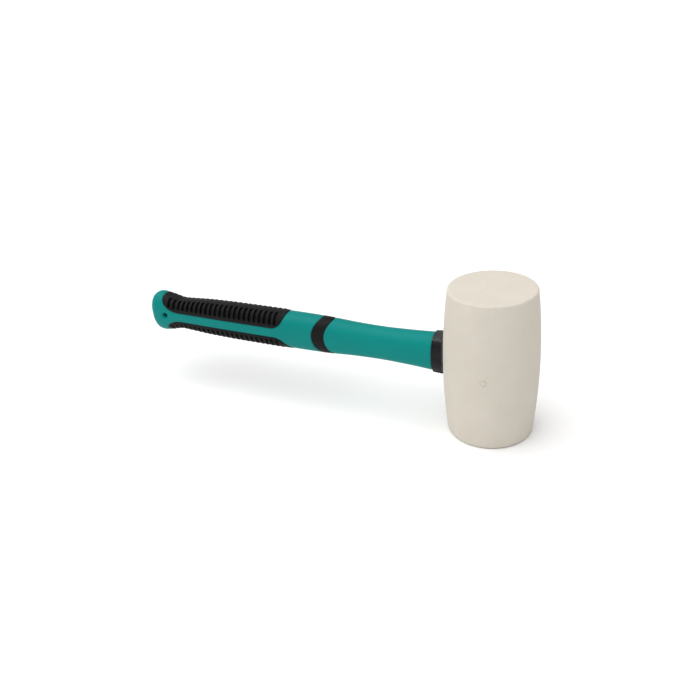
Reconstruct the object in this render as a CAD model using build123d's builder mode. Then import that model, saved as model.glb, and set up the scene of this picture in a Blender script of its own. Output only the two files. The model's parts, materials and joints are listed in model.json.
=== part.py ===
"""Rubber mallet: a moulded rubber head on a fibreglass-cored, two-material handle.

Frame: the origin is the middle of the lower striking face and +Z is the head's axis.
The handle runs out along -X, so "reach" below is a distance from the head's axis
towards the butt, and a point at that reach has X = -reach.
"""
from build123d import *
from math import copysign, cos, radians, sin, sqrt
import os

os.makedirs("parts", exist_ok=True)

# ---------------------------------------------------------------- driving dimensions, mm
# Head: a barrel, widest at mid-height
head_length = 108.0
head_radius = 33.0
face_radius = 29.75
face_edge_round = 1.6
axis_height = head_length / 2  # height of the handle's axis

# Handle: reach, half height (along Z) and half width (along Y) of its outer form
form_stations = [
    (20.0, 15.2, 11.2),
    (40.0, 14.1, 10.4),
    (60.0, 13.0, 9.7),
    (80.0, 12.4, 9.4),
    (100.0, 12.8, 9.5),
    (120.0, 13.9, 9.9),
    (140.0, 14.6, 10.2),
    (170.0, 14.7, 10.4),
    (200.0, 14.6, 10.4),
    (230.0, 14.0, 10.2),
    (246.0, 13.0, 9.9),
    (257.0, 12.3, 9.8),
    (267.0, 14.3, 10.1),
    (277.0, 16.8, 10.6),
]
section_power = 2.35  # 2 is an ellipse, more is squarer
section_points = 16
butt_reach = 286.7
butt_power = 2.5
butt_steps = (22.0, 42.0, 60.0, 74.0, 84.0)  # degrees round the butt's end
neck_reach = 40.3  # where the jacket meets the collar
collar_rise = 0.5
ledge_rise = 0.6  # the collar's top and underside stand out further than its sides
ledge_height = 11.7  # from the handle's axis to the step between them

# Core, liner, bond and pin
core_half_width = 4.5
core_half_height = 8.0
core_end_reach = 262.0
core_tip_x = 11.5  # the core's end inside the head
bond_thickness = 0.3
liner_mouth_half_width = 8.2
liner_mouth_half_height = 12.0
liner_end_half_width = 7.4
liner_end_half_height = 11.0
liner_end_x = 14.0
pin_radius = 2.0
pin_length = 40.0
pin_x = 3.8
pin_mark_radius = 2.3
pin_mark_width = 0.5
pin_mark_depth = 0.35
pin_mark_start = 1.0  # the mark's cutter starts this far off the head

# Band let into the jacket in front of the grip, bowed towards the butt
band_front_reach = 124.5
band_rear_reach = 135.0
band_front_bow = 19.0
band_rear_bow = 18.0
band_bow_lift = 0.9  # the bows' middle is this far above the handle's axis
band_bow_angle = 120.0  # how far round each bow is drawn
band_floor_half_width = 8.3
band_floor_half_height = 12.0
band_rise = 0.15

# Grip panels let into the top and the underside. Each is drawn as a top one:
# its border's distance from the handle's axis, the reach of its slanting front end at the
# border and at panel_top, the reach of its rounded rear end, and the width of its spine.
upper_panel_sizes = (3.5, 163.6, 157.6, 272.8, 6.8)
lower_panel_sizes = (4.3, 163.7, 153.2, 272.0, 2.4)
panel_top = 15.0
panel_rear_round = 16.3
panel_corner_round = 11.0
panel_rise = 0.35
pocket_half_width = 7.8
pocket_half_height = 10.6
rim_width = 2.0
groove_count = 23
groove_pitch = 4.53
groove_first_reach = 165.7
groove_width = 2.4
groove_sink = 1.3  # groove floors below the jacket's surface
groove_low_end = 6.3  # lower ends of the grooves above the handle's axis

# Hang hole through the butt
hang_hole_radius = 2.0
hang_hole_reach = 270.7

clear = 24.0  # half size of cutters that must pass right through the handle

# ---------------------------------------------------------------- shared planes and forms
side_view = Plane(origin=(0, 0, axis_height), x_dir=(1, 0, 0), z_dir=(0, -1, 0))


def across(reach):
    """Plane across the handle, at a reach from the head's axis, looking at the butt."""
    return Plane(origin=(-reach, 0, axis_height), x_dir=(0, 1, 0), z_dir=(-1, 0, 0))


def round_power(angle, power):
    """Cosine and sine of an angle, each squared up by a superellipse's power."""
    c = cos(radians(angle))
    s = sin(radians(angle))
    return copysign(abs(c) ** (2 / power), c), copysign(abs(s) ** (2 / power), s)


def stations_to_butt():
    """Every station of the outer form, with the butt's rounded end worked out."""
    swell_reach, swell_height, swell_width = form_stations[-1]
    stations = list(form_stations)
    for step in butt_steps:
        shrink, advance = round_power(step, butt_power)
        reach = swell_reach + (butt_reach - swell_reach) * advance
        stations.append((reach, swell_height * shrink, swell_width * shrink))
    return stations


def form_size(reach):
    """Half height and half width of the outer form, between its stations."""
    for near, far in zip(form_stations, form_stations[1:]):
        if near[0] <= reach <= far[0]:
            share = (reach - near[0]) / (far[0] - near[0])
            return [a + share * (b - a) for a, b in zip(near[1:], far[1:])]
    raise ValueError("reach is outside the stations")


def border_at(reach, border_height, panel_rear):
    """Height of a panel's long border above the handle's axis, up its rounded rear end."""
    past = max(reach - (panel_rear - panel_rear_round), 0)
    return panel_top - (panel_top - border_height) * sqrt(1 - (past / panel_rear_round) ** 2)


def outer_form(rise):
    """The whole handle's outer form, lofted through the stations and standing out by rise."""
    with BuildPart() as form:
        for reach, half_height, half_width in all_stations:
            outline = []
            for step in range(section_points):
                c, s = round_power(360 * step / section_points, section_power)
                outline.append(((half_width + rise) * c, (half_height + rise) * s))
            with BuildSketch(across(reach)):
                with BuildLine():
                    Spline(*outline, periodic=True)
                make_face()
        loft()
    return form.part


def oval_rod(half_width, half_height, x_from, x_to):
    """Straight rod of elliptical section along the handle's axis."""
    with BuildPart() as rod:
        with BuildSketch(across(-x_from)):
            Ellipse(half_width, half_height)
        extrude(amount=x_from - x_to)
    return rod.part


def barrel():
    """The head's outer shape, with no eye in it."""
    with BuildPart() as body:
        with BuildSketch(Plane.XZ):
            with BuildLine():
                Polyline((0, head_length), (0, 0), (face_radius, 0))
                ThreePointArc((face_radius, 0), (head_radius, axis_height), (face_radius, head_length))
                Line((face_radius, head_length), (0, head_length))
            make_face()
        revolve(axis=Axis.Z)
        fillet(body.edges().filter_by(GeomType.CIRCLE), face_edge_round)
    return body.part


def liner_form(x_mouth):
    """Tapered oval of the eye liner, from its mouth to its closed end."""
    with BuildPart() as form:
        with BuildSketch(across(-x_mouth)):
            Ellipse(liner_mouth_half_width, liner_mouth_half_height)
        with BuildSketch(across(-liner_end_x)):
            Ellipse(liner_end_half_width, liner_end_half_height)
        loft()
    return form.part


def panel_outline(border_height, front_low, front_top, panel_rear):
    """Prism with a grip panel's outline, seen from the side, right through the handle."""
    with BuildPart() as prism:
        with BuildSketch(side_view) as outline:
            with BuildLine():
                Polyline(
                    (-panel_rear + panel_rear_round, border_height),
                    (-front_low, border_height),
                    (-front_top, panel_top),
                    (-front_top, clear),
                    (-panel_rear, clear),
                    (-panel_rear, panel_top),
                )
                EllipticalCenterArc(
                    (-panel_rear + panel_rear_round, panel_top),
                    panel_rear_round,
                    panel_top - border_height,
                    start_angle=180,
                    arc_size=90,
                )
            make_face()
            front_corner = outline.vertices().sort_by_distance(
                side_view.from_local_coords((-front_low, border_height, 0))
            )[0]
            fillet(front_corner, panel_corner_round)
        extrude(amount=clear, both=True)
    return prism.part


def panel_grooves(border_height, panel_rear, spine_width):
    """Round-ended grooves in two rows, one each side of a plain spine along the top."""
    with BuildPart() as slots:
        with BuildSketch(side_view):
            for groove in range(groove_count):
                reach = groove_first_reach + groove * groove_pitch
                low_end = max(groove_low_end, border_at(reach, border_height, panel_rear) + rim_width)
                with Locations((-reach, (low_end + clear) / 2)):
                    SlotOverall(clear - low_end, groove_width, rotation=90)
        extrude(amount=clear, both=True)
    with BuildPart() as cutter:
        for groove in range(groove_count):
            reach = groove_first_reach + groove * groove_pitch
            half_height, half_width = form_size(reach)
            with BuildSketch(across(reach - groove_width)):
                Rectangle(2 * clear, 4 * clear)
                Ellipse(half_width - groove_sink, half_height - groove_sink, mode=Mode.SUBTRACT)
            extrude(amount=2 * groove_width)
        add(slots.part, mode=Mode.INTERSECT)
        with BuildSketch(Plane.XY.offset(axis_height)):
            Rectangle(2 * butt_reach, spine_width)
        extrude(amount=clear, mode=Mode.SUBTRACT)
    return cutter.part


def panel_pocket(outline):
    """The space that a panel fills in the jacket, down to its oval floor."""
    with BuildPart() as pocket:
        add(outline)
        add(pocket_floor, mode=Mode.SUBTRACT)
    return pocket.part


def grip_panel(outline, grooves):
    """A grip panel on the top of the handle."""
    with BuildPart() as panel:
        add(outer_form(panel_rise))
        add(outline, mode=Mode.INTERSECT)
        add(pocket_floor, mode=Mode.SUBTRACT)
        add(grooves, mode=Mode.SUBTRACT)
    return panel.part


all_stations = stations_to_butt()
head_form = barrel()
eye_form = liner_form(-neck_reach)
core_form = oval_rod(core_half_width, core_half_height, core_tip_x, -core_end_reach)
bond_form = oval_rod(
    core_half_width + bond_thickness,
    core_half_height + bond_thickness,
    core_tip_x + bond_thickness,
    -neck_reach,
)
pocket_floor = oval_rod(pocket_half_width, pocket_half_height, -neck_reach, -butt_reach)
band_floor = oval_rod(band_floor_half_width, band_floor_half_height, -neck_reach, -butt_reach)

with BuildPart() as pin_form:
    with BuildSketch(Plane(origin=(pin_x, 0, axis_height), x_dir=(1, 0, 0), z_dir=(0, -1, 0))):
        Circle(pin_radius)
    extrude(amount=pin_length / 2, both=True)

# ---------------------------------------------------------------- head end
with BuildPart() as rubber_head:
    add(head_form)
    add(eye_form, mode=Mode.SUBTRACT)
    add(pin_form.part, mode=Mode.SUBTRACT)
    # the small ring left on the side where the pin goes in
    mark_start = (pin_x, -head_radius - pin_mark_start, axis_height)
    with BuildSketch(Plane(origin=mark_start, x_dir=(1, 0, 0), z_dir=(0, 1, 0))):
        Circle(pin_mark_radius)
        Circle(pin_mark_radius - pin_mark_width, mode=Mode.SUBTRACT)
    extrude(amount=pin_mark_start + pin_mark_depth, mode=Mode.SUBTRACT)
rubber_head.part.label = "rubber_head"
export_step(rubber_head.part, "parts/rubber_head.step")

with BuildPart() as eye_liner:
    add(eye_form)
    add(bond_form, mode=Mode.SUBTRACT)
    add(pin_form.part, mode=Mode.SUBTRACT)
eye_liner.part.label = "eye_liner"
export_step(eye_liner.part, "parts/eye_liner.step")

with BuildPart() as epoxy_bond:
    add(bond_form)
    add(core_form, mode=Mode.SUBTRACT)
    add(pin_form.part, mode=Mode.SUBTRACT)
epoxy_bond.part.label = "epoxy_bond"
export_step(epoxy_bond.part, "parts/epoxy_bond.step")

with BuildPart() as fibreglass_core:
    add(core_form)
    add(pin_form.part, mode=Mode.SUBTRACT)
fibreglass_core.part.label = "fibreglass_core"
export_step(fibreglass_core.part, "parts/fibreglass_core.step")

with BuildPart() as retaining_pin:
    add(pin_form.part)
retaining_pin.part.label = "retaining_pin"
export_step(retaining_pin.part, "parts/retaining_pin.step")

with BuildPart() as collar_ledges:
    add(outer_form(collar_rise + ledge_rise))
    with BuildSketch(Plane.XY.offset(axis_height)):
        Rectangle(4 * butt_reach, 2 * clear)
    extrude(amount=ledge_height, both=True, mode=Mode.SUBTRACT)

with BuildPart() as neck_collar:
    add(outer_form(collar_rise))
    add(collar_ledges.part)
    # cut square where the jacket starts, and to the head's curve at the other end
    with BuildSketch(across(neck_reach)):
        Rectangle(2 * clear, 2 * clear)
    extrude(amount=butt_reach, mode=Mode.SUBTRACT)
    add(head_form, mode=Mode.SUBTRACT)
    add(eye_form, mode=Mode.SUBTRACT)
neck_collar.part.label = "neck_collar"
export_step(neck_collar.part, "parts/neck_collar.step")

# ---------------------------------------------------------------- inlay outlines, seen from the side
upper_outline = panel_outline(*upper_panel_sizes[:-1])
lower_outline = panel_outline(*lower_panel_sizes[:-1])

with BuildPart() as band_outline:
    with BuildSketch(side_view):
        with BuildLine():
            bow_start = 180 - band_bow_angle / 2
            front_centre = (-band_front_reach + band_front_bow, band_bow_lift)
            rear_centre = (-band_rear_reach + band_rear_bow, band_bow_lift)
            front = CenterArc(front_centre, band_front_bow, bow_start, band_bow_angle)
            rear = CenterArc(rear_centre, band_rear_bow, bow_start, band_bow_angle)
            Line(front @ 0, rear @ 0)
            Line(front @ 1, rear @ 1)
        make_face()
    extrude(amount=clear, both=True)

with BuildPart() as band_channel:
    add(band_outline.part)
    add(band_floor, mode=Mode.SUBTRACT)

# ---------------------------------------------------------------- handle
with BuildPart() as handle_jacket:
    add(outer_form(0))
    # square end against the collar
    with BuildSketch(across(neck_reach)):
        Rectangle(2 * clear, 2 * clear)
    extrude(amount=-clear, mode=Mode.SUBTRACT)
    add(core_form, mode=Mode.SUBTRACT)
    add(band_channel.part, mode=Mode.SUBTRACT)
    add(panel_pocket(upper_outline), mode=Mode.SUBTRACT)
    mirror(panel_pocket(lower_outline), about=Plane.XY.offset(axis_height), mode=Mode.SUBTRACT)
    with BuildSketch(side_view):
        with Locations((-hang_hole_reach, 0)):
            Circle(hang_hole_radius)
    extrude(amount=clear, both=True, mode=Mode.SUBTRACT)
handle_jacket.part.label = "handle_jacket"
export_step(handle_jacket.part, "parts/handle_jacket.step")

with BuildPart() as grip_band:
    add(outer_form(band_rise))
    add(band_outline.part, mode=Mode.INTERSECT)
    add(band_floor, mode=Mode.SUBTRACT)
grip_band.part.label = "grip_band"
export_step(grip_band.part, "parts/grip_band.step")

upper_border, _, _, upper_rear, upper_spine = upper_panel_sizes
with BuildPart() as upper_grip_panel:
    add(grip_panel(upper_outline, panel_grooves(upper_border, upper_rear, upper_spine)))
upper_grip_panel.part.label = "upper_grip_panel"
export_step(upper_grip_panel.part, "parts/upper_grip_panel.step")

lower_border, _, _, lower_rear, lower_spine = lower_panel_sizes
with BuildPart() as lower_grip_panel:
    mirror(
        grip_panel(lower_outline, panel_grooves(lower_border, lower_rear, lower_spine)),
        about=Plane.XY.offset(axis_height),
    )
lower_grip_panel.part.label = "lower_grip_panel"
export_step(lower_grip_panel.part, "parts/lower_grip_panel.step")
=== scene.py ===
import json

import bmesh
import bpy
import numpy as np
from math import radians
from mathutils import Matrix, Vector


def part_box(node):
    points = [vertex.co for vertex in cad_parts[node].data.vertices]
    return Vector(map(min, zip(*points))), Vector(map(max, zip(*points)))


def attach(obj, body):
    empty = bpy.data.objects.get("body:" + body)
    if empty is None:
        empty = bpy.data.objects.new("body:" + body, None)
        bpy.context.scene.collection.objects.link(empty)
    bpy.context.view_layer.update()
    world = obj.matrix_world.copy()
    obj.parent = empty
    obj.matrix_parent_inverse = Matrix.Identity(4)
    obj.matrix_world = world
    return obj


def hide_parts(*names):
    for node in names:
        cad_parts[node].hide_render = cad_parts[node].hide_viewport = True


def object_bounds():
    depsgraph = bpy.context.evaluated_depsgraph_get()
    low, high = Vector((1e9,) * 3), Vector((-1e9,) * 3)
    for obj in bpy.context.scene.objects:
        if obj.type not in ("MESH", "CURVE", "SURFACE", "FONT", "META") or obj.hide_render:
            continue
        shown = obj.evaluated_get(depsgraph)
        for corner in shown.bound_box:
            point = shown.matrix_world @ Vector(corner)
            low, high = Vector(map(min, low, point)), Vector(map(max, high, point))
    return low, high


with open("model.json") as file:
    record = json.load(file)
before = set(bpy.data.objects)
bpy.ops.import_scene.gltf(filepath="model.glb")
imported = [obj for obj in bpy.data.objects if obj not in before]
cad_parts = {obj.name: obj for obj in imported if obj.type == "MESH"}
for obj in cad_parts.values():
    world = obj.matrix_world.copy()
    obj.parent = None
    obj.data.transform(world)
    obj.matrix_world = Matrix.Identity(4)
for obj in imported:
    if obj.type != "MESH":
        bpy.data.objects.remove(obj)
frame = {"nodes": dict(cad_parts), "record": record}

MM = 0.001
cad_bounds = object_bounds()


def box_mm(node):
    """Lowest and highest corner of a CAD node, in millimetres."""
    low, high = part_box(node)
    return np.array(low) / MM, np.array(high) / MM


head_low, head_high = box_mm("rubber_head")
jacket_low, jacket_high = box_mm("handle_jacket")
core_low, core_high = box_mm("fibreglass_core")
liner_high = box_mm("eye_liner")[1]
pin_low, pin_high = box_mm("retaining_pin")
mounts = {mount["name"]: mount for mount in frame["record"]["mounts"]}

HEAD_LENGTH = head_high[2] - head_low[2]
HEAD_RADIUS = head_high[1]
AXIS = (head_high[2] + head_low[2]) / 2
NECK = -jacket_high[0]
BUTT = -jacket_low[0]
CORE_WIDTH = core_high[1]
CORE_HEIGHT = core_high[2] - AXIS
CORE_END = -core_low[0]
LINER_WIDTH = liner_high[1]
LINER_HEIGHT = liner_high[2] - AXIS
LINER_END = liner_high[0]
PIN_X = (pin_low[0] + pin_high[0]) / 2

# ---------------------------------------------------------------- outer form of the handle
# reach, half height and half width
STATIONS = np.array([
    (20.0, 15.2, 11.2),
    (40.0, 14.1, 10.4),
    (60.0, 13.0, 9.7),
    (80.0, 12.4, 9.4),
    (100.0, 12.8, 9.5),
    (120.0, 13.9, 9.9),
    (140.0, 14.6, 10.2),
    (170.0, 14.7, 10.4),
    (200.0, 14.6, 10.4),
    (230.0, 14.0, 10.2),
    (246.0, 13.0, 9.9),
    (257.0, 12.3, 9.8),
    (267.0, 14.3, 10.1),
    (277.0, 16.8, 10.6),
])
SECTION_POWER = 2.35
BUTT_POWER = 2.5
SWELL = STATIONS[-1, 0]
TYPICAL_WIDTH = 10.2  # half sizes of the section that spaces the columns round the handle
TYPICAL_HEIGHT = 14.3
QUARTER_STEPS = 4001


def flow(x, xs, ys):
    """Smooth curve through the points that never overshoots them; it ends level."""
    step = np.diff(xs)
    rise = np.diff(ys) / step
    slope = np.zeros(len(xs))
    slope[0] = rise[0]
    for i in range(1, len(xs) - 1):
        if rise[i - 1] * rise[i] > 0:
            w1 = 2 * step[i] + step[i - 1]
            w2 = step[i] + 2 * step[i - 1]
            slope[i] = (w1 + w2) / (w1 / rise[i - 1] + w2 / rise[i])
    k = np.clip(np.searchsorted(xs, x, side="right") - 1, 0, len(xs) - 2)
    t = (x - xs[k]) / step[k]
    return (
        ys[k] * (1 + 2 * t) * (1 - t) ** 2
        + slope[k] * step[k] * t * (1 - t) ** 2
        + ys[k + 1] * t**2 * (3 - 2 * t)
        - slope[k + 1] * step[k] * t**2 * (1 - t)
    )


def form_size(reach):
    """Half height and half width of the outer form."""
    reach = np.asarray(reach, float)
    within = np.minimum(reach, SWELL)
    advance = np.clip((reach - SWELL) / (BUTT - SWELL), 0, 1)
    sine = advance ** (BUTT_POWER / 2)
    shrink = np.maximum(1 - sine**2, 0) ** (1 / BUTT_POWER)
    height = flow(within, STATIONS[:, 0], STATIONS[:, 1])
    width = flow(within, STATIONS[:, 0], STATIONS[:, 2])
    return height * shrink, width * shrink


def quarter_table():
    """One quarter of a typical section, from the top round to the side, evenly spaced."""
    angle = np.linspace(np.pi / 2, 0, QUARTER_STEPS)
    y = np.cos(angle).clip(0) ** (2 / SECTION_POWER)
    z = np.sin(angle).clip(0) ** (2 / SECTION_POWER)
    length = np.hypot(np.diff(y * TYPICAL_WIDTH), np.diff(z * TYPICAL_HEIGHT))
    share = np.concatenate([[0], np.cumsum(length)])
    return share / share[-1], y, z


QUARTER = quarter_table()


def unit_section(turn):
    """Section as y and z from -1 to 1; turn goes 0 to 1 from the top round by -Y."""
    q = np.mod(turn, 1.0) * 4
    f = np.select([q <= 1, q <= 2, q <= 3], [q, 2 - q, q - 2], 4 - q)
    y = np.interp(f, QUARTER[0], QUARTER[1]) * np.where(q < 2, -1, 1)
    z = np.interp(f, QUARTER[0], QUARTER[2]) * np.where((q < 1) | (q > 3), 1, -1)
    return y, z


def on_form(reach, turn, rise=0.0):
    """Across and height above the axis on the outer form, standing out by rise."""
    half_height, half_width = form_size(reach)
    y, z = unit_section(turn)
    return (half_width + rise) * y, (half_height + rise) * z


def to_floor(y, z, half_width, half_height):
    """The point on an oval floor straight in towards the axis from (y, z)."""
    k = np.sqrt((y / half_width) ** 2 + (z / half_height) ** 2)
    return y / k, z / k


def ease(t):
    """0 to 1 with level ends."""
    t = np.clip(t, 0, 1)
    return t * t * (3 - 2 * t)


def rolled(distance, width, power):
    """1 on a border, falling to 0 at width from it."""
    return (1 - ease(distance / width)) ** power


# ---------------------------------------------------------------- inlay outlines, side view
# Each gives the distance outside (positive) or inside (negative) of its border.
# A panel is its border's distance from the handle's axis, the reach of its slanting front
# end at the border and at PANEL_TOP, the reach of its rear end, and half its spine's width.
UPPER_PANEL = (3.5, 163.6, 157.6, 272.8, 3.4)
LOWER_PANEL = (4.3, 163.7, 153.2, 272.0, 1.2)
PANEL_TOP = 15.0
REAR_ROUND = 16.3
CORNER_ROUND = 11.0


def panel_edge(reach, z, panel):
    border, front_low, front_top, panel_rear, _ = panel
    slant = np.array([-(PANEL_TOP - border), -(front_low - front_top)])
    slant /= np.hypot(*slant)
    below = border - z
    ahead = (reach - front_low) * slant[0] + (z - border) * slant[1]
    # rounded corner: centre at the round's radius inside both lines
    centre_z = border + CORNER_ROUND
    centre_reach = front_low + (-CORNER_ROUND - CORNER_ROUND * slant[1]) / slant[0]
    from_reach = reach - centre_reach
    from_z = z - centre_z
    along_slant = from_reach / slant[0]
    along_down = -(from_z - along_slant * slant[1])
    corner = np.hypot(from_reach, from_z) - CORNER_ROUND
    front = np.where((along_slant > 0) & (along_down > 0), corner, np.maximum(below, ahead))
    # quarter-oval rear end
    run = np.maximum(reach - (panel_rear - REAR_ROUND), 1e-9)
    drop = np.maximum(PANEL_TOP - z, 0)
    k0 = np.hypot(run / REAR_ROUND, drop / (PANEL_TOP - border))
    k1 = np.hypot(run / REAR_ROUND**2, drop / (PANEL_TOP - border) ** 2)
    rear = k0 * (k0 - 1) / k1
    middle = (front_low + panel_rear) / 2
    return np.where(reach < middle, front, np.where(reach < panel_rear - REAR_ROUND, below, rear))


BAND_FRONT = (124.5, 19.0)  # reach at mid-height, radius of the bow
BAND_REAR = (135.0, 18.0)
BAND_LIFT = 0.9  # the bows' middle is this far above the handle's axis


def band_edge(reach, z):
    z = z - BAND_LIFT
    front = BAND_FRONT[1] - np.hypot(reach - BAND_FRONT[0] + BAND_FRONT[1], z)
    rear = np.hypot(reach - BAND_REAR[0] + BAND_REAR[1], z) - BAND_REAR[1]
    return np.maximum(front, rear)


HOLE_REACH = -mounts["hang_hole"]["pos_m"][0] / MM
HOLE_RADIUS = mounts["hang_hole"]["dims"]["r_mm"]


def hole_edge(reach, z):
    return np.hypot(reach - HOLE_REACH, z) - HOLE_RADIUS


# ---------------------------------------------------------------- meshing
# The handle's visible pieces are grids on the outer form, reach by turn. snap() moves vertices
# onto the inlays' borders, and split() sorts the faces to either side of them.
TURNS = 176  # columns round the handle
MIDDLE_PULL = 0.2  # a middle column's vertex this near the line, in steps, counts as on it


def spread(*stretches):
    """Values along stretches, each (from, to, step), with the last value kept."""
    parts = []
    for start, stop, step in stretches:
        count = max(1, int(round((stop - start) / step)))
        parts.append(start + (stop - start) * np.arange(count) / count)
    return np.concatenate(parts + [[stretches[-1][1]]])


def snap(field, rows, turns=TURNS):
    """Grid on the outer form, with vertices moved onto the line where field is 0.

    Only the -Y half is worked out, and the other half mirrors it.
    Returns reach, turn and field of every vertex, as rows by columns.
    """
    half = turns // 2
    reach, turn = np.meshgrid(rows, np.linspace(0, 0.5, half + 1), indexing="ij")
    value = field(reach, turn)
    nearest = np.full(value.shape, np.inf)
    new_reach, new_turn = reach.copy(), turn.copy()
    for di, dj in ((1, 0), (-1, 0), (0, 1), (0, -1)):
        here_i = slice(max(0, -di), value.shape[0] - max(0, di))
        here_j = slice(max(0, -dj), value.shape[1] - max(0, dj))
        there_i = slice(max(0, di), value.shape[0] - max(0, -di))
        there_j = slice(max(0, dj), value.shape[1] - max(0, -dj))
        a, b = value[here_i, here_j], value[there_i, there_j]
        crosses = a * b < 0
        t = a / np.where(crosses, a - b, 1)  # only used where the line crosses
        wanted = crosses & ((t < 0.5) | ((t == 0.5) & (di + dj > 0)))
        if dj:
            # the two middle columns stay in the plane of symmetry
            column = np.broadcast_to(np.arange(half + 1)[here_j], t.shape)
            neighbour = column + dj
            locked = (column == 0) | (column == half)
            beside = (neighbour == 0) | (neighbour == half)
            wanted = (wanted & ~locked) | (crosses & beside & (t < 1 - MIDDLE_PULL))
            on_line = crosses & locked & (t <= MIDDLE_PULL)
            spot = nearest[here_i, here_j]
            nearest[here_i, here_j] = np.where(on_line, 0.0, spot)
        spot = nearest[here_i, here_j]
        better = wanted & (t < spot)
        nearest[here_i, here_j] = np.where(better, t, spot)
        moved_reach = reach[here_i, here_j] + t * (reach[there_i, there_j] - reach[here_i, here_j])
        moved_turn = turn[here_i, here_j] + t * (turn[there_i, there_j] - turn[here_i, here_j])
        new_reach[here_i, here_j] = np.where(better, moved_reach, new_reach[here_i, here_j])
        new_turn[here_i, here_j] = np.where(better, moved_turn, new_turn[here_i, here_j])
    value = np.where(np.isfinite(nearest), 0.0, value)
    mirrored = slice(half - 1, 0, -1)
    reach = np.hstack([new_reach, new_reach[:, mirrored]])
    turn = np.hstack([new_turn, 1 - new_turn[:, mirrored]])
    return reach, turn, np.hstack([value, value[:, mirrored]])


def split(reach, turn, value, field):
    """Grid faces inside and outside the line, as lists of vertex number tuples."""
    n, m = value.shape
    i, j = np.meshgrid(np.arange(n - 1), np.arange(m), indexing="ij")
    following = (j + 1) % m
    cells = np.stack([i * m + j, (i + 1) * m + j, (i + 1) * m + following, i * m + following], -1)
    cells = cells.reshape(-1, 4)
    sign = np.sign(value).ravel()[cells]
    inside, outside = [], []
    lowest, highest = sign.min(1), sign.max(1)
    whole = lowest * highest >= 0
    flat_reach, flat_turn = reach.ravel(), turn.ravel()
    # a cell with every corner on the line goes by its middle
    for cell in np.nonzero(whole & (lowest == 0) & (highest == 0))[0]:
        corners = cells[cell]
        turns = flat_turn[corners]
        turns = np.where(turns < turns.max() - 0.5, turns + 1, turns)
        middle = field(flat_reach[corners].mean(), turns.mean())
        (inside if middle < 0 else outside).append(tuple(corners))
    inside += map(tuple, cells[whole & (lowest < 0)])
    outside += map(tuple, cells[whole & (highest > 0)])
    # a cell with the line along its diagonal becomes two triangles
    for corners, signs in zip(cells[~whole], sign[~whole]):
        k = 0 if signs[0] == 0 and signs[2] == 0 else 1
        a, b, c, d = np.roll(corners, -k)
        sb, sd = np.roll(signs, -k)[[1, 3]]
        assert np.roll(signs, -k)[0] == 0 and np.roll(signs, -k)[2] == 0 and sb * sd < 0
        (inside if sb < 0 else outside).append((a, b, c))
        (inside if sd < 0 else outside).append((a, c, d))
    return inside, outside


def rim_edges(faces):
    """Directed edges that only one face has."""
    edges = set()
    for face in faces:
        for a, b in zip(face, face[1:] + face[:1]):
            edges.add((int(a), int(b)))
    return [(a, b) for a, b in edges if (b, a) not in edges]


def make(name, points, faces, sharp=38, shades=None):
    """Mesh object from points in millimetres, on the root body; sharp is in degrees."""
    used = np.unique(np.concatenate([np.array(f, int) for f in faces]))
    renumber = np.zeros(len(points), int)
    renumber[used] = np.arange(len(used))
    mesh = bpy.data.meshes.new(name)
    mesh.from_pydata(
        (points[used] * MM).tolist(), [], [renumber[list(face)].tolist() for face in faces]
    )
    for label, values in (shades or {}).items():
        layer = mesh.attributes.new(label, "FLOAT", "POINT")
        layer.data.foreach_set("value", np.ascontiguousarray(values[used], np.float32))
    shape = bmesh.new()
    shape.from_mesh(mesh)
    bmesh.ops.recalc_face_normals(shape, faces=shape.faces)
    shape.to_mesh(mesh)
    shape.free()
    mesh.shade_smooth()
    mesh.set_sharp_from_angle(angle=radians(sharp))
    piece = bpy.data.objects.new(name, mesh)
    bpy.context.scene.collection.objects.link(piece)
    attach(piece, "root")
    return piece


def stack(reach, y, z):
    """Points in the frame's axes, from reach, across and height above the axis."""
    return np.stack([-reach.ravel(), y.ravel(), AXIS + z.ravel()], -1)


def strips(first, second, count):
    """Quads between two rings of vertex numbers."""
    return [
        (first[k], first[(k + 1) % count], second[(k + 1) % count], second[k])
        for k in range(count)
    ]


# ---------------------------------------------------------------- grip panels and band
GROOVES = 23
GROOVE_PITCH = 4.53
GROOVE_FIRST = 165.7
GROOVE_HALF = 1.2
GROOVE_LOW_END = 6.3
GROOVE_DEPTH = 1.65
GROOVE_WALL = 0.45
RIB_CROWN = 0.4  # the ribs between the grooves are this much higher than the plain spine
RIB_POWER = 0.7  # below 1 for fuller crowns
RIB_ROW_FADE = 0.3  # of the pitch, at the row's ends
RIB_LOW_FADE = 2.0
RIB_SPINE_FADE = 1.6
RIM = 2.0
PANEL_RISE = 0.35
PANEL_FLOOR = (7.8, 10.6)
BAND_FLOOR = (8.3, 12.0)
BAND_RISE = 0.15
EDGE_DIP = 0.2  # how far both sides of a parting line roll in
PANEL_ROLL = 0.9  # width of the roll on each piece
BAND_ROLL = 0.7
JACKET_ROLL = 0.6
ROLL_POWER = 1.4
PANEL_SPAN = (152.0, 273.5)  # reach of the rows that hold the panels
BAND_SPAN = (114.0, 136.5)
groove_places = GROOVE_FIRST + GROOVE_PITCH * np.arange(GROOVES)


def side_height(reach, turn):
    return on_form(reach, turn)[1]


def panel_field(panel):
    return lambda reach, turn: panel_edge(reach, side_height(reach, turn), panel)


def band_field(reach, turn):
    return band_edge(reach, side_height(reach, turn))


def border_at(reach, panel):
    """Height of a panel's border, up its rounded rear end."""
    past = np.clip(reach - (panel[3] - REAR_ROUND), 0, REAR_ROUND)
    return PANEL_TOP - (PANEL_TOP - panel[0]) * np.sqrt(1 - (past / REAR_ROUND) ** 2)


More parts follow.
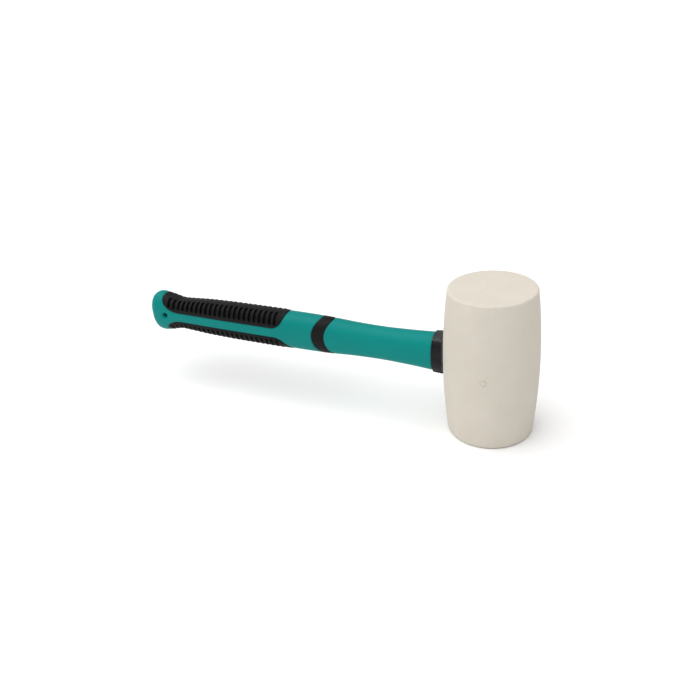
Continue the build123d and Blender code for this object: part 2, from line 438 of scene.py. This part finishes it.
def groove_share(reach, turn, panel):
    """How far each point is down in a groove, and how far up on a rib, from 0 to 1."""
    y, z = on_form(reach, turn)
    nearest = np.clip(np.round((reach - GROOVE_FIRST) / GROOVE_PITCH), 0, GROOVES - 1).astype(int)
    place = groove_places[nearest]
    low_end = np.maximum(GROOVE_LOW_END, border_at(place, panel) + RIM) + GROOVE_HALF
    below = np.maximum(low_end - z, 0)
    above = np.maximum(panel[4] + GROOVE_HALF - np.abs(y), 0)
    gap = np.sqrt((reach - place) ** 2 + below**2 + above**2) - GROOVE_HALF
    groove = ease((GROOVE_WALL / 2 - gap) / GROOVE_WALL)
    along = 0.5 - 0.5 * np.cos(2 * np.pi * (reach - place) / GROOVE_PITCH)
    in_row = ease((GROOVE_PITCH - np.abs(reach - place)) / (RIB_ROW_FADE * GROOVE_PITCH))
    rib = along**RIB_POWER * in_row
    rib = rib * ease(1 - below / RIB_LOW_FADE) * ease(1 - above / RIB_SPINE_FADE)
    return groove, rib


def inlay(name, node, field, rows, floor, rise_of, mirror=False):
    """Closed piece let into the jacket: its top, its side wall and its underside.

    rise_of gives how far each vertex stands out, and how far it is down in a groove.
    """
    reach, turn, value = snap(field, rows)
    faces = split(reach, turn, value, field)[0]
    rise, groove = rise_of(reach, turn, value)
    y, z = on_form(reach, turn, rise)
    floor_y, floor_z = to_floor(*on_form(reach, turn), *floor)
    points = np.vstack([stack(reach, y, z), stack(reach, floor_y, floor_z)])
    count = reach.size
    walls = [(a, b, b + count, a + count) for a, b in rim_edges(faces)]
    under = [tuple(k + count for k in face[::-1]) for face in faces]
    if mirror:
        points[:, 2] = 2 * AXIS - points[:, 2]
    shades = {"groove": np.tile(groove.ravel(), 2)}
    piece = make(name, points, faces + walls + under, shades=shades)
    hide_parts(node)
    return piece


def panel_rise(panel):
    def rise_of(reach, turn, value):
        inward = np.maximum(-value, 0)
        top = PANEL_RISE - (PANEL_RISE + EDGE_DIP) * rolled(inward, PANEL_ROLL, ROLL_POWER)
        groove, rib = groove_share(reach, turn, panel)
        relief = RIB_CROWN * rib - GROOVE_DEPTH * groove
        return top + relief, groove
    return rise_of


def band_rise(reach, turn, value):
    inward = np.maximum(-value, 0)
    top = BAND_RISE - (BAND_RISE + EDGE_DIP) * rolled(inward, BAND_ROLL, ROLL_POWER)
    return top, np.zeros(reach.shape)


# rows closer together on the groove walls than on the ribs and the groove floors
half_pitch = np.array([0.0, 0.55, 0.88, 1.0, 1.1, 1.2, 1.3, 1.42, 1.75])
pitch_steps = np.concatenate([-half_pitch[:0:-1], half_pitch, [GROOVE_PITCH / 2]])
groove_rows = (groove_places[:, None] + pitch_steps[None, :]).ravel()
groove_start = groove_places[0] + pitch_steps[0]
groove_stop = groove_places[-1] + pitch_steps[-1]
panel_rows = np.concatenate([
    spread((PANEL_SPAN[0], groove_start, 0.42))[:-1],
    groove_rows,
    spread((groove_stop, PANEL_SPAN[1], 0.35))[1:],
])
upper_panel = inlay(
    "grip_panel_upper", "upper_grip_panel", panel_field(UPPER_PANEL), panel_rows,
    PANEL_FLOOR, panel_rise(UPPER_PANEL),
)
lower_panel = inlay(
    "grip_panel_lower", "lower_grip_panel", panel_field(LOWER_PANEL), panel_rows,
    PANEL_FLOOR, panel_rise(LOWER_PANEL), mirror=True,
)
band = inlay(
    "band_inlay", "grip_band", band_field, spread((*BAND_SPAN, 0.42)),
    BAND_FLOOR, band_rise,
)


# ---------------------------------------------------------------- teal jacket
def inlays_field(reach, turn):
    z = side_height(reach, turn)
    panels = np.minimum(panel_edge(reach, z, UPPER_PANEL), panel_edge(reach, -z, LOWER_PANEL))
    return np.minimum(panels, band_edge(reach, z))


def hole_field(reach, turn):
    return hole_edge(reach, side_height(reach, turn))


def jacket_field(reach, turn):
    return np.minimum(inlays_field(reach, turn), hole_field(reach, turn))


NECK_EDGE = 0.35  # depth and width of the rounding at the collar's end
NECK_ROUND = 0.6
NECK_HALF = (10.4, 14.0)  # half width and half height there, for spacing the bore's columns
HOLE_RIM = 1.5  # width and depth of the hang hole's rim
HOLE_DIP = 1.1
RIM_POWER = 1.6
HOLE_RINGS = 14
BORE_STEP = 22.0
# painted shade: how far from the inlays' borders and the hang hole's rim the teal is darkened
SEAM_SHADE_WIDTH = 1.6
butt_angles = np.linspace(0, np.pi / 2, 26)[1:-1]
butt_rows = SWELL + (BUTT - SWELL) * np.sin(butt_angles) ** (2 / BUTT_POWER)
jacket_rows = np.concatenate([
    NECK + np.array([0, 0.15, 0.35, 0.7]),
    spread(
        (NECK + 1.4, BAND_SPAN[0], 0.6), (*BAND_SPAN, 0.45), (BAND_SPAN[1], PANEL_SPAN[0], 0.8),
        (PANEL_SPAN[0], 176.0, 0.5), (176.0, 256.0, 0.72), (256.0, SWELL, 0.42),
    ),
    butt_rows,
])


def jacket():
    reach, turn, value = snap(jacket_field, jacket_rows)
    inside, outside = split(reach, turn, value, jacket_field)
    to_inlay = np.abs(inlays_field(reach, turn))
    to_hole = np.abs(hole_field(reach, turn))
    at_line = (value == 0) & (to_inlay < to_hole)
    dip = EDGE_DIP * rolled(to_inlay, JACKET_ROLL, ROLL_POWER)
    dip = np.where(at_line, EDGE_DIP, dip)
    dip += HOLE_DIP * rolled(to_hole, HOLE_RIM, RIM_POWER)
    dip += NECK_EDGE * rolled(reach - NECK, NECK_ROUND, RIM_POWER)
    y, z = on_form(reach, turn, -dip)
    form_y, form_z = on_form(reach, turn)
    in_band = band_edge(reach, form_z) < 1.0
    floor_width = np.where(in_band, BAND_FLOOR[0], PANEL_FLOOR[0])
    floor_height = np.where(in_band, BAND_FLOOR[1], PANEL_FLOOR[1])
    floor_y, floor_z = to_floor(form_y, form_z, floor_width, floor_height)
    count, columns = reach.size, reach.shape[1]
    parts = [stack(reach, y, z), stack(reach, floor_y, floor_z)]
    total = 2 * count
    flat_reach, flat_hole = reach.ravel(), hole_field(reach, turn).ravel()
    in_hole = [np.mean(flat_hole[list(face)]) < 0 for face in inside]
    pocket = [face for face, cut in zip(inside, in_hole) if not cut]
    cut_out = [face for face, cut in zip(inside, in_hole) if cut]
    faces = list(outside)
    faces += [tuple(k + count for k in face) for face in pocket]
    faces += [(a, b, b + count, a + count) for a, b in rim_edges(pocket)]

    # hang hole: a tube from the -Y side to the mirrored vertices on the +Y side
    near = [(a, b) for a, b in rim_edges(cut_out) if a % columns < columns // 2]
    ring = sorted({a for a, b in near} | {b for a, b in near})
    place = {}
    across = y.ravel()
    height = z.ravel()
    for a in ring:
        row, column = divmod(a, columns)
        mirrored = row * columns + (columns - column) % columns
        place[a, 0], place[a, HOLE_RINGS] = a, mirrored
    tube = []
    for step in range(1, HOLE_RINGS):
        share = 0.5 - 0.5 * np.cos(np.pi * step / HOLE_RINGS)
        for a in ring:
            place[a, step] = total
            total += 1
            tube.append((-flat_reach[a], across[a] * (1 - 2 * share), AXIS + height[a]))
    parts.append(np.array(tube))
    for step in range(HOLE_RINGS):
        for a, b in near:
            faces.append((place[a, step], place[b, step], place[b, step + 1], place[a, step + 1]))

    # bore for the core, and the end face against the collar
    angles = np.arctan2(z[0] / NECK_HALF[1], y[0] / NECK_HALF[0])
    bore_y, bore_z = CORE_WIDTH * np.cos(angles), CORE_HEIGHT * np.sin(angles)
    previous = list(range(columns))
    middle_y, middle_z = (y[0] + bore_y) / 2, (z[0] + bore_z) / 2
    loops = [(NECK, middle_y, middle_z)]
    loops += [(at, bore_y, bore_z) for at in spread((NECK, CORE_END, BORE_STEP))]
    for at, loop_y, loop_z in loops:
        parts.append(stack(np.full(columns, at), loop_y, loop_z))
        current = list(range(total, total + columns))
        total += columns
        faces += strips(previous, current, columns)
        previous = current
    parts.append(np.array([(-CORE_END, 0.0, AXIS), (-BUTT, 0.0, AXIS)]))
    faces += [(previous[k], previous[(k + 1) % columns], total) for k in range(columns)]
    last = (reach.shape[0] - 1) * columns
    faces += [(last + k, last + (k + 1) % columns, total + 1) for k in range(columns)]
    points = np.vstack(parts)
    edge = np.zeros(len(points))
    # painted shade, 1 at the inlays' borders and the hang hole's rim, fading out over the width
    # set above
    edge[:count] = (1 - ease(np.minimum(to_inlay, to_hole) / SEAM_SHADE_WIDTH)).ravel()
    piece = make("jacket_teal", points, faces, shades={"edge": edge})
    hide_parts("handle_jacket")
    return piece


teal = jacket()

# ---------------------------------------------------------------- neck collar
COLLAR_RISE = 0.5
COLLAR_LEDGE = 0.65
COLLAR_COLUMNS = 240
COLLAR_FACE = 33.0  # reach of the section that gives the head end its shape
COLLAR_HALF = (10.9, 14.4)  # half width and half height, for spacing the opening's columns
COLLAR_TUCK = 0.1  # the end at the jacket rounds off to this far below the outer form
COLLAR_ROUND = 0.3
COLLAR_STEP = 1.3  # the small step's distance from the head end, its drop and its run
STEP_DROP = 0.45
STEP_RUN = 0.35
HEAD_OVERLAP = 0.8  # the collar runs this far into the head, so that no gap shows
LEDGE_HEIGHT = 11.7
LEDGE_RUN = 0.5
# painted highlight on the collar's upper facet, brightest just above the ledge line, and along the
# small step at the head end
FACET_HIGHLIGHT = (0.4, 3.0, 0.6)  # starts over, fades over, and loses this share
RIM_HIGHLIGHT = (0.45, 0.3, 0.9)  # past the small step by, half width, strength
FACE_RADIUS = 29.75  # of the head's striking faces
bulge = HEAD_RADIUS - FACE_RADIUS
side_arc = ((HEAD_LENGTH / 2) ** 2 + bulge**2) / (2 * bulge)


def head_radius(z):
    """Radius of the head's side at a height above the handle's axis."""
    return HEAD_RADIUS - side_arc + np.sqrt(side_arc**2 - np.asarray(z, float) ** 2)


def collar():
    columns = COLLAR_COLUMNS
    turn = np.arange(columns) / columns
    # rows from the jacket end, closest together there, to the head end
    shares = np.concatenate([[0, 0.012, 0.03, 0.06, 0.1, 0.15], np.linspace(0.21, 1, 34)])
    face_y, face_z = on_form(COLLAR_FACE, turn, COLLAR_RISE)
    end = np.sqrt((head_radius(face_z) - HEAD_OVERLAP) ** 2 - face_y**2)
    share, turns = np.meshgrid(shares, turn, indexing="ij")
    reach = NECK + share * (end[None, :] - NECK)
    out = NECK - reach
    y, z = on_form(reach, turns)
    ledge = COLLAR_LEDGE * ease((np.abs(z) - LEDGE_HEIGHT) / LEDGE_RUN + 0.5)
    rise = COLLAR_RISE + ledge
    rise = rise - (rise + COLLAR_TUCK) * rolled(out, COLLAR_ROUND, RIM_POWER)
    from_head = reach - end[None, :]
    rise = rise - STEP_DROP * (1 - ease((from_head - COLLAR_STEP) / STEP_RUN))
    y, z = on_form(reach, turns, rise)
    parts = [stack(reach, y, z)]
    faces = []
    total = reach.size
    for row in range(len(shares) - 1):
        faces += strips(range(row * columns, total), range((row + 1) * columns, total), columns)
    inner = np.arctan2(face_z / COLLAR_HALF[1], face_y / COLLAR_HALF[0])
    inner_y, inner_z = LINER_WIDTH * np.cos(inner), LINER_HEIGHT * np.sin(inner)
    inner_end = np.sqrt((head_radius(inner_z) - HEAD_OVERLAP) ** 2 - inner_y**2)
    loops = [
        (inner_end, inner_y, inner_z),
        ((inner_end + NECK) / 2, inner_y, inner_z),
        (np.full(columns, NECK), inner_y, inner_z),
    ]
    previous = range((len(shares) - 1) * columns, len(shares) * columns)
    for at, loop_y, loop_z in loops:
        parts.append(stack(at, loop_y, loop_z))
        current = range(total, total + columns)
        total += columns
        faces += strips(previous, current, columns)
        previous = current
    faces += strips(previous, range(columns), columns)
    # painted highlight: the upper facet just above the ledge line and a thin line past the small
    # step at the head end are paled
    painted_highlight = np.zeros(total)
    above = z - LEDGE_HEIGHT
    past, half_width, strength = RIM_HIGHLIGHT
    rim = np.exp(-((from_head - COLLAR_STEP - past) / half_width) ** 2)
    start, fade, loss = FACET_HIGHLIGHT
    facet = ease(above / start) * (1 - loss * ease(above / fade))
    painted_highlight[:reach.size] = np.maximum(facet, strength * rim).ravel()
    piece = make("collar_moulding", np.vstack(parts), faces, sharp=34,
                 shades={"painted_highlight": painted_highlight, "groove": np.zeros(total)})
    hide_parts("neck_collar")
    return piece


collar_piece = collar()

# ---------------------------------------------------------------- rubber head
EDGE_ROUND = 1.6
MARK_RADIUS = 2.3
MARK_WIDTH = 0.5
MARK_DEPTH = 0.35
MARK_WALL = 0.22
MARK_REGION = 3.4  # half size of the patch of finer mesh round the mark, and its mesh size
MARK_MESH = 0.2
HEAD_MESH = 1.15
HEAD_COLUMNS = 230
HEAD_SHARP = 50
WEAR_FROM = 44.0  # height above and below the axis where wear begins, and how far it grows
WEAR_RUN = 10.0
EYE_TIP = (7.4, 11.0)  # half width and half height of the eye's inner end
EYE_COLUMNS = 96


def head_profile():
    """Radius and height above the axis, from the middle of the lower face to the upper one."""
    half = HEAD_LENGTH / 2
    # edge round: tangent to the flat face and to the side
    centre_z = half - EDGE_ROUND
    centre_r = head_radius(centre_z) - EDGE_ROUND
    lean = np.arcsin(centre_z / side_arc)
    rounds = [
        (centre_r + EDGE_ROUND * np.cos(a), centre_z + EDGE_ROUND * np.sin(a))
        for a in np.linspace(lean, np.pi / 2, 9)
    ]
    start = rounds[0][1]
    side = spread((0.0, MARK_REGION, MARK_MESH), (MARK_REGION, start, HEAD_MESH))[:-1]
    faces = [(r, half) for r in np.linspace(rounds[-1][0], 0, 15)[1:-1]]
    upper = [(float(head_radius(z)), z) for z in side] + rounds + faces
    lower = [(r, -z) for r, z in upper[:0:-1]]
    return np.array(lower + upper)


def head():
    profile = head_profile()
    aside = float(np.arcsin(PIN_X / HEAD_RADIUS))
    reach_angle = MARK_REGION / HEAD_RADIUS
    fine = MARK_MESH / HEAD_RADIUS
    around = spread(
        (aside - reach_angle, aside + reach_angle, fine),
        (aside + reach_angle, aside - reach_angle + 2 * np.pi, 2 * np.pi / HEAD_COLUMNS),
    )[:-1]
    columns = len(around)
    radius, angle = np.meshgrid(profile[:, 0], around, indexing="ij")
    height = np.repeat(profile[:, 1:], columns, 1)
    from_mark = np.hypot(radius * np.sin(angle) - PIN_X, height)
    on_near_side = np.cos(angle) > 0.5
    in_ring = MARK_WIDTH / 2 - np.abs(from_mark - MARK_RADIUS + MARK_WIDTH / 2)
    mark = np.where(on_near_side, ease(in_ring / MARK_WALL + 0.5), 0)
    side = np.abs(height) < MARK_REGION
    radius = radius - MARK_DEPTH * np.where(side, mark, 0)
    points = np.stack([
        (radius * np.sin(angle)).ravel(),
        (-radius * np.cos(angle)).ravel(),
        (AXIS + height).ravel(),
    ], -1)
    rows = len(profile)
    total = rows * columns
    faces = []
    for row in range(rows - 1):
        faces += strips(range(row * columns, total), range((row + 1) * columns, total), columns)
    points = np.vstack([points, [(0, 0, AXIS - HEAD_LENGTH / 2), (0, 0, AXIS + HEAD_LENGTH / 2)]])
    faces += [(k, (k + 1) % columns, total) for k in range(columns)]
    top = (rows - 1) * columns
    faces += [(top + k, top + (k + 1) % columns, total + 1) for k in range(columns)]
    striking = np.concatenate([ease((np.abs(height) - WEAR_FROM) / WEAR_RUN).ravel(), [1, 1]])
    return make("head_white", points, faces, sharp=HEAD_SHARP, shades={"edge": striking})


head_piece = head()


def cut_eye(piece):
    """Cuts the tapered oval eye that the liner sits in."""
    columns = EYE_COLUMNS
    angle = 2 * np.pi * np.arange(columns) / columns
    taper = LINER_END + NECK
    parts = []
    for x in (-NECK, LINER_END):
        share = (x + NECK) / taper
        width = LINER_WIDTH + share * (EYE_TIP[0] - LINER_WIDTH)
        height = LINER_HEIGHT + share * (EYE_TIP[1] - LINER_HEIGHT)
        parts.append(stack(np.full(columns, -x), width * np.cos(angle), height * np.sin(angle)))
    faces = strips(range(columns), range(columns, 2 * columns), columns)
    faces += [tuple(range(columns)), tuple(range(2 * columns - 1, columns - 1, -1))]
    cutter = make("eye_cutter", np.vstack(parts), faces)
    cut = piece.modifiers.new("eye", "BOOLEAN")
    cut.operation = "DIFFERENCE"
    cut.solver = "EXACT"
    cut.object = cutter
    graph = bpy.context.evaluated_depsgraph_get()
    mesh = bpy.data.meshes.new_from_object(piece.evaluated_get(graph))
    piece.modifiers.clear()
    piece.data = mesh
    bpy.data.objects.remove(cutter)
    mesh.set_sharp_from_angle(angle=radians(HEAD_SHARP))


cut_eye(head_piece)
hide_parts("rubber_head")


# ---------------------------------------------------------------- materials
NOISE_ROUGHNESS = 0.55


def new_material(name, **sockets):
    material = bpy.data.materials.new(name)
    material.use_nodes = True
    shader = material.node_tree.nodes["Principled BSDF"]
    for socket, value in sockets.items():
        shader.inputs[socket.replace("_", " ")].default_value = value
    return material, material.node_tree.nodes, material.node_tree.links, shader


def noise(nodes, links, scale, detail, stretch=(1, 1, 1)):
    """Noise in object coordinates; scale is in features per metre."""
    place = nodes.new("ShaderNodeTexCoord")
    mapping = nodes.new("ShaderNodeMapping")
    mapping.inputs["Scale"].default_value = stretch
    texture = nodes.new("ShaderNodeTexNoise")
    texture.inputs["Scale"].default_value = scale
    texture.inputs["Detail"].default_value = detail
    texture.inputs["Roughness"].default_value = NOISE_ROUGHNESS
    links.new(place.outputs["Object"], mapping.inputs["Vector"])
    links.new(mapping.outputs["Vector"], texture.inputs["Vector"])
    return texture.outputs["Fac"]


def span(nodes, links, value, low, high, to_low, to_high):
    """Value mapped from low..high to to_low..to_high, and held beyond them."""
    ranged = nodes.new("ShaderNodeMapRange")
    limits = {"From Min": low, "From Max": high, "To Min": to_low, "To Max": to_high}
    for socket, number in limits.items():
        ranged.inputs[socket].default_value = number
    links.new(value, ranged.inputs["Value"])
    return ranged.outputs["Result"]


def patches(nodes, links, scale, detail, low, high, stretch=(1, 1, 1)):
    """Noise stretched so that low becomes 0 and high becomes 1."""
    return span(nodes, links, noise(nodes, links, scale, detail, stretch), low, high, 0, 1)


def times(nodes, links, first, second):
    product = nodes.new("ShaderNodeMath")
    product.operation = "MULTIPLY"
    links.new(first, product.inputs[0])
    links.new(second, product.inputs[1])
    return product.outputs[0]


def blend_colours(nodes, links, factor, first, second):
    mix = nodes.new("ShaderNodeMix")
    mix.data_type = "RGBA"
    for name, colour in (("A", first), ("B", second)):
        socket = [s for s in mix.inputs if s.name == name and s.type == "RGBA"][0]
        if isinstance(colour, tuple):
            socket.default_value = (*colour, 1)
        else:
            links.new(colour, socket)
    links.new(factor, mix.inputs["Factor"])
    return [s for s in mix.outputs if s.type == "RGBA"][0]


def bumps(nodes, links, shader, *layers):
    """Chained bumps, each (height, distance in metres, strength)."""
    normal = None
    for height, distance, strength in layers:
        bump = nodes.new("ShaderNodeBump")
        bump.inputs["Distance"].default_value = distance
        bump.inputs["Strength"].default_value = strength
        links.new(height, bump.inputs["Height"])
        if normal is not None:
            links.new(normal, bump.inputs["Normal"])
        normal = bump.outputs["Normal"]
    links.new(normal, shader.inputs["Normal"])


def attribute(nodes, name):
    node = nodes.new("ShaderNodeAttribute")
    node.attribute_name = name
    return node.outputs["Fac"]


def white_rubber():
    material, nodes, links, shader = new_material("white_rubber", Specular_IOR_Level=0.2)
    cloud = patches(nodes, links, 55, 5, 0.35, 0.68)
    speck = patches(nodes, links, 420, 3, 0.4, 0.66)
    colour = blend_colours(nodes, links, cloud, (0.585, 0.540, 0.468), (0.612, 0.567, 0.494))
    grime = span(nodes, links, noise(nodes, links, 900, 2), 0.66, 0.78, 0, 0.35)
    colour = blend_colours(nodes, links, grime, colour, (0.47, 0.42, 0.35))
    worn_specks = span(nodes, links, speck, 0.2, 0.9, 0.0, 0.45)
    worn = times(nodes, links, attribute(nodes, "edge"), worn_specks)
    colour = blend_colours(nodes, links, worn, colour, (0.635, 0.592, 0.52))
    links.new(colour, shader.inputs["Base Color"])
    links.new(span(nodes, links, cloud, 0, 1, 0.62, 0.78), shader.inputs["Roughness"])
    bumps(nodes, links, shader, (cloud, 0.0004, 0.35), (speck, 0.00012, 0.5))
    return material


def teal_plastic():
    material, nodes, links, shader = new_material("teal_plastic", Specular_IOR_Level=0.1)
    flow_lines = patches(nodes, links, 60, 4, 0.35, 0.7, stretch=(0.3, 1, 1))
    grain = patches(nodes, links, 1500, 2, 0.35, 0.7)
    colour = blend_colours(nodes, links, flow_lines, (0.0, 0.198, 0.182), (0.0015, 0.220, 0.200))
    # painted shade: the teal darkens next to the inlays' borders and round the hang hole, where
    # "edge" is high
    seam_shade = span(nodes, links, attribute(nodes, "edge"), 0.55, 1.0, 0, 0.55)
    colour = blend_colours(nodes, links, seam_shade, colour, (0.0, 0.09, 0.085))
    links.new(colour, shader.inputs["Base Color"])
    links.new(span(nodes, links, flow_lines, 0, 1, 0.42, 0.52), shader.inputs["Roughness"])
    bumps(nodes, links, shader, (flow_lines, 0.0002, 0.25), (grain, 0.00004, 0.5))
    return material


def black_grip(name, dark, light, rough):
    """Black moulding: painted shade makes it darker where "groove" is 1, and a painted highlight
    makes it paler where the collar's highlight attribute is 1.
    """
    material, nodes, links, shader = new_material(name, Specular_IOR_Level=0.12)
    cloud = patches(nodes, links, 160, 4, 0.35, 0.68)
    grain = patches(nodes, links, 2200, 2, 0.35, 0.7)
    colour = blend_colours(nodes, links, cloud, dark, light)
    # painted shade: the groove floors are darkened towards black
    in_groove = attribute(nodes, "groove")
    colour = blend_colours(nodes, links, in_groove, colour, (0.0015, 0.0015, 0.0015))
    # painted highlight: paler where the collar's highlight attribute is 1, broken up by noise
    highlight_speckle = span(nodes, links, noise(nodes, links, 700, 3), 0.3, 0.65, 0.25, 1)
    highlight_marks = times(nodes, links, attribute(nodes, "painted_highlight"), highlight_speckle)
    colour = blend_colours(nodes, links, highlight_marks, colour, (0.095, 0.095, 0.095))
    links.new(colour, shader.inputs["Base Color"])
    roughness = span(nodes, links, cloud, 0, 1, rough - 0.05, rough + 0.08)
    links.new(roughness, shader.inputs["Roughness"])
    bumps(nodes, links, shader, (cloud, 0.0002, 0.3), (grain, 0.00006, 0.6))
    return material


def hidden_material(name, dark, light, scale, stretch, rough, **sockets):
    """For the carried-over CAD nodes inside the handle and the head."""
    material, nodes, links, shader = new_material(name, **sockets)
    grain = patches(nodes, links, scale, 5, 0.35, 0.7, stretch)
    links.new(blend_colours(nodes, links, grain, dark, light), shader.inputs["Base Color"])
    links.new(span(nodes, links, grain, 0, 1, rough, rough + 0.15), shader.inputs["Roughness"])
    bumps(nodes, links, shader, (grain, 0.0001, 0.5))
    return material


rubber = black_grip("grip_rubber", (0.004, 0.004, 0.0045), (0.007, 0.007, 0.0075), 0.5)
collar_plastic = black_grip("collar_plastic", (0.007, 0.007, 0.008), (0.015, 0.015, 0.016), 0.42)
head_piece.data.materials.append(white_rubber())
teal.data.materials.append(teal_plastic())
for piece in (upper_panel, lower_panel, band):
    piece.data.materials.append(rubber)
collar_piece.data.materials.append(collar_plastic)
inside_materials = {
    "fibreglass_core": hidden_material(
        "fibreglass", (0.50, 0.44, 0.22), (0.66, 0.60, 0.34), 900, (0.03, 1, 1), 0.35
    ),
    "eye_liner": hidden_material(
        "liner_plastic", (0.012, 0.012, 0.013), (0.022, 0.022, 0.023), 700, (1, 1, 1), 0.45
    ),
    "epoxy_bond": hidden_material(
        "epoxy", (0.48, 0.33, 0.10), (0.58, 0.42, 0.15), 260, (1, 1, 1), 0.12
    ),
    "retaining_pin": hidden_material(
        "pin_steel", (0.42, 0.42, 0.43), (0.55, 0.55, 0.57), 2500, (1, 0.05, 1), 0.28, Metallic=1.0
    ),
}
for node, material in inside_materials.items():
    cad = frame["nodes"][node]
    cad.data.materials.clear()
    cad.data.materials.append(material)

# ---------------------------------------------------------------- floor, light and camera
# lengths in metres, as Blender has them
FLOOR_HALF = 30.0
FLOOR_DROP = 0.0002  # below the mallet's lowest point
SKY_TOP = 0.5  # height of the direction, from 0 level to 1 overhead, where the sky is dimmest
SKY_LEVEL = 0.25  # strength from there up; it is 1 at the horizon
SUN_STRENGTH = 3.26
SUN_ANGLE = radians(80)
SUN_FROM = (-0.24, -0.17, 1.0)
LENS = 39.07  # the lens and the sensor are in millimetres
SENSOR_WIDTH = 36.0
CLIP_START = 0.01
AIM = (-0.10813, 0.0, 0.04346)
AZIMUTH = radians(27.0736)
ELEVATION = radians(28.3411)
ROLL = radians(-4.5413)
DISTANCE = 0.57085

floor_mesh = bpy.data.meshes.new("floor")
corners = [(x * FLOOR_HALF, y * FLOOR_HALF, 0) for x, y in ((-1, -1), (1, -1), (1, 1), (-1, 1))]
floor_mesh.from_pydata(corners, [], [(0, 1, 2, 3)])
floor = bpy.data.objects.new("floor", floor_mesh)
floor.location.z = cad_bounds[0][2] - FLOOR_DROP
bpy.context.scene.collection.objects.link(floor)
floor_material, nodes, links, shader = new_material(
    "pale_floor", Roughness=0.9, Specular_IOR_Level=0.1
)
soft = patches(nodes, links, 6, 2, 0.3, 0.7)
pale = blend_colours(nodes, links, soft, (0.92, 0.92, 0.92), (0.94, 0.94, 0.94))
links.new(pale, shader.inputs["Base Color"])
floor_mesh.materials.append(floor_material)

world = bpy.data.worlds.new("studio")
bpy.context.scene.world = world
world.use_nodes = True
nodes, links = world.node_tree.nodes, world.node_tree.links
nodes["Background"].inputs["Color"].default_value = (1.0, 1.0, 1.0, 1)
# the surroundings are as white as the floor at its far edge, and dimmer overhead
height = nodes.new("ShaderNodeSeparateXYZ")
links.new(nodes.new("ShaderNodeTexCoord").outputs["Generated"], height.inputs[0])
strength = span(nodes, links, height.outputs["Z"], 0.0, SKY_TOP, 1.0, SKY_LEVEL)
links.new(strength, nodes["Background"].inputs["Strength"])

softbox = bpy.data.lights.new("softbox", "SUN")
softbox.energy = SUN_STRENGTH
softbox.angle = SUN_ANGLE
softbox_object = bpy.data.objects.new("softbox", softbox)
softbox_object.rotation_mode = "QUATERNION"
softbox_object.rotation_quaternion = Vector(SUN_FROM).to_track_quat("Z", "Y")
bpy.context.scene.collection.objects.link(softbox_object)

camera_data = bpy.data.cameras.new("camera")
camera_data.lens = LENS
camera_data.sensor_width = SENSOR_WIDTH
camera_data.clip_start = CLIP_START
camera = bpy.data.objects.new("camera", camera_data)
back = np.array([
    np.sin(AZIMUTH) * np.cos(ELEVATION),
    -np.cos(AZIMUTH) * np.cos(ELEVATION),
    np.sin(ELEVATION),
])
level = np.array([np.cos(AZIMUTH), np.sin(AZIMUTH), 0.0])
above = np.cross(back, level)
right = np.cos(ROLL) * level + np.sin(ROLL) * above
up = np.cross(back, right)
turned = Matrix([[right[k], up[k], back[k]] for k in range(3)])
camera.matrix_world = Matrix.Translation(np.array(AIM) + DISTANCE * back) @ turned.to_4x4()
bpy.context.scene.collection.objects.link(camera)
bpy.context.scene.camera = camera
bpy.context.scene.view_settings.view_transform = "Standard"
